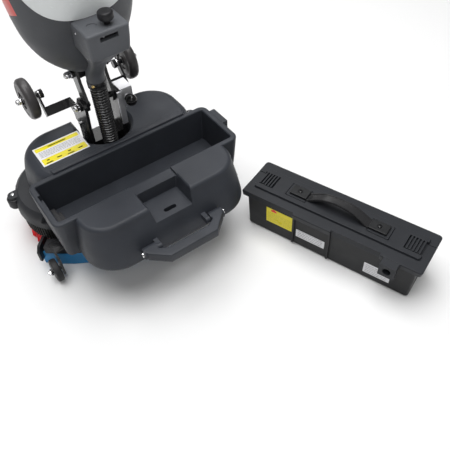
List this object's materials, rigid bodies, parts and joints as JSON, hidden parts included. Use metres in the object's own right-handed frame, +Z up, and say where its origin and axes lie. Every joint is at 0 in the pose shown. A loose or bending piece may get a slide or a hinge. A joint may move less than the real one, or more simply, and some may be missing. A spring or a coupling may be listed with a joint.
{
  "type": "wet dry floor scrubber",
  "caption": "Walk-behind wet dry floor scrubber: disc-brush head with open battery bay, curved squeegee, tilting tank column with handlebar, and a lift-out battery pack.",
  "frame": {"origin": "middle of the footprint of machine and battery pack, on the floor", "axes": "+Z up, X along the battery bay, -Y towards the operator"},
  "size_m": [0.637, 0.7302, 1.072],
  "materials": {
    "cover_plastic": "moulded, fine texture",
    "deck_plastic": "moulded, fine texture",
    "black_plastic": "moulded",
    "tank_plastic": "moulded, fine texture",
    "panel_plastic": "moulded, fine texture",
    "accent_plastic": "coral red",
    "rubber": "matt",
    "wheel_rubber": "solid rubber wheel",
    "hose_rubber": "ribbed, glossy",
    "bristle": "nylon bristles",
    "blade_rubber": "blue squeegee blade",
    "bright_steel": "plated",
    "black_steel": "gloss black enamel",
    "motor_case": "grey casing",
    "cells": "wrapped cells",
    "screen": "screen",
    "strap": "moulded strap"
  },
  "bodies": {
    "head": {"head_cover": "cover_plastic", "bulge_floor": "deck_plastic", "bay_contacts": "black_plastic", "drive_controller": "black_plastic", "water_pump": "black_plastic", "brush_deck": "deck_plastic", "splash_skirt": "rubber", "brush_motor_left": "motor_case", "brush_motor_right": "motor_case", "squeegee_guides": "bright_steel", "squeegee_hose": "hose_rubber", "swivel_base": "black_steel"},
    "brush_left": {"brush_plate_left": "black_plastic", "bristles_left": "bristle"},
    "brush_right": {"brush_plate_right": "black_plastic", "bristles_right": "bristle"},
    "bumper_left": {"bumper_roller_left": "rubber"},
    "bumper_right": {"bumper_roller_right": "rubber"},
    "bail": {"carry_handle": "cover_plastic"},
    "squeegee": {"squeegee_beam": "black_plastic", "rear_blade": "blade_rubber", "front_blade": "blade_rubber", "squeegee_carrier": "black_steel", "squeegee_end_left": "black_plastic", "squeegee_end_right": "black_plastic", "caster_bracket_left": "black_steel", "caster_bracket_right": "black_steel"},
    "caster_left": {"caster_wheel_left": "rubber"},
    "caster_right": {"caster_wheel_right": "rubber"},
    "neck": {"neck_cradle": "black_steel", "lock_bracket": "bright_steel", "recovery_hose": "hose_rubber"},
    "wheel_left": {"transport_wheel_left": "wheel_rubber"},
    "wheel_right": {"transport_wheel_right": "wheel_rubber"},
    "lock": {"lock_knob": "black_plastic"},
    "column": {"solution_tank": "tank_plastic", "recovery_tank": "panel_plastic", "accent_strip_left": "accent_plastic", "accent_strip_right": "accent_plastic", "hose_manifold": "tank_plastic", "column_yoke": "black_steel", "vacuum_motor": "motor_case", "top_cover": "tank_plastic", "handle_stem": "black_steel", "control_pod": "tank_plastic", "display_screen": "screen", "handlebar": "black_steel", "grip_left": "rubber", "grip_right": "rubber"},
    "drain": {"drain_knob": "black_plastic"},
    "trigger": {"drive_trigger": "accent_plastic"},
    "button_brush": {"brush_button": "accent_plastic"},
    "button_water": {"water_button": "panel_plastic"},
    "button_suction": {"suction_button": "panel_plastic"},
    "pack": {"pack_case": "black_plastic", "cell_block": "cells", "pack_lid": "cover_plastic", "pack_strap": "strap"},
    "latch_left": {"pack_latch_left": "black_plastic"},
    "latch_right": {"pack_latch_right": "black_plastic"}
  },
  "joints": [
    {"name": "brush_left_spin", "type": "hinge", "parent": "head", "child": "brush_left", "pos_m": [-0.19433, 0.23738, 0.06], "axis": [0, 0, 1], "continuous": true},
    {"name": "brush_right_spin", "type": "hinge", "parent": "head", "child": "brush_right", "pos_m": [0.02567, 0.23738, 0.06], "axis": [0, 0, 1], "continuous": true},
    {"name": "bumper_left_spin", "type": "hinge", "parent": "head", "child": "bumper_left", "pos_m": [-0.30233, 0.26538, 0.092], "axis": [0, 0, 1], "continuous": true},
    {"name": "bumper_right_spin", "type": "hinge", "parent": "head", "child": "bumper_right", "pos_m": [0.13367, 0.26538, 0.092], "axis": [0, 0, 1], "continuous": true},
    {"name": "carry_handle_fold", "type": "hinge", "parent": "head", "child": "bail", "pos_m": [-0.08433, -0.05512, 0.139], "axis": [-1, 0, 0], "range_deg": [0, 80]},
    {"name": "squeegee_lift", "type": "slide", "parent": "head", "child": "squeegee", "axis": [0, 0, 1], "range_m": [0, 0.016], "deforming": ["squeegee_hose"]},
    {"name": "caster_left_spin", "type": "hinge", "parent": "squeegee", "child": "caster_left", "pos_m": [-0.30133, 0.10338, 0.025], "axis": [1, 0, 0], "continuous": true},
    {"name": "caster_right_spin", "type": "hinge", "parent": "squeegee", "child": "caster_right", "pos_m": [0.13267, 0.10338, 0.025], "axis": [1, 0, 0], "continuous": true},
    {"name": "neck_swivel", "type": "hinge", "parent": "head", "child": "neck", "pos_m": [-0.08433, 0.24138, 0.14], "axis": [0, 0, 1], "range_deg": [-30, 30]},
    {"name": "column_tilt", "type": "hinge", "parent": "neck", "child": "column", "pos_m": [-0.08433, 0.23138, 0.27], "axis": [1, 0, 0], "range_deg": [0, 55], "deforming": ["recovery_hose"]},
    {"name": "transport_wheel_left_spin", "type": "hinge", "parent": "neck", "child": "wheel_left", "pos_m": [-0.19433, 0.32338, 0.267], "axis": [1, 0, 0], "continuous": true},
    {"name": "transport_wheel_right_spin", "type": "hinge", "parent": "neck", "child": "wheel_right", "pos_m": [0.02567, 0.32338, 0.267], "axis": [1, 0, 0], "continuous": true},
    {"name": "lock_pull", "type": "slide", "parent": "neck", "child": "lock", "axis": [0, -1, 0], "range_m": [0, 0.008], "stiffness_N_per_m": 600},
    {"name": "drain_knob_pull", "type": "slide", "parent": "column", "child": "drain", "axis": [0, 0, 1], "range_m": [0, 0.008], "stiffness_N_per_m": 500},
    {"name": "trigger_squeeze", "type": "hinge", "parent": "column", "child": "trigger", "pos_m": [-0.00933, 0.27538, 1.02], "axis": [-1, 0, 0], "range_deg": [0, 14], "stiffness_Nm_per_rad": 1, "springref_deg": -11.46},
    {"name": "brush_press", "type": "slide", "parent": "column", "child": "button_brush", "axis": [0, 0, -1], "range_m": [0, 0.0024], "stiffness_N_per_m": 400},
    {"name": "water_press", "type": "slide", "parent": "column", "child": "button_water", "axis": [0, 0, -1], "range_m": [0, 0.0024], "stiffness_N_per_m": 400},
    {"name": "suction_press", "type": "slide", "parent": "column", "child": "button_suction", "axis": [0, 0, -1], "range_m": [0, 0.0024], "stiffness_N_per_m": 400},
    {"name": "pack_lift", "type": "slide", "parent": "head", "child": "pack", "axis": [0, 0, 1], "range_m": [0, 0.15]},
    {"name": "latch_left_slide", "type": "slide", "parent": "pack", "child": "latch_left", "axis": [-0.3486, 0.9373, 0], "range_m": [0, 0.01]},
    {"name": "latch_right_slide", "type": "slide", "parent": "pack", "child": "latch_right", "axis": [0.3486, -0.9373, 0], "range_m": [0, 0.01]}
  ],
  "couplings": [
    {"joint": "brush_right_spin", "follows": "brush_left_spin", "ratio": -1}
  ]
}
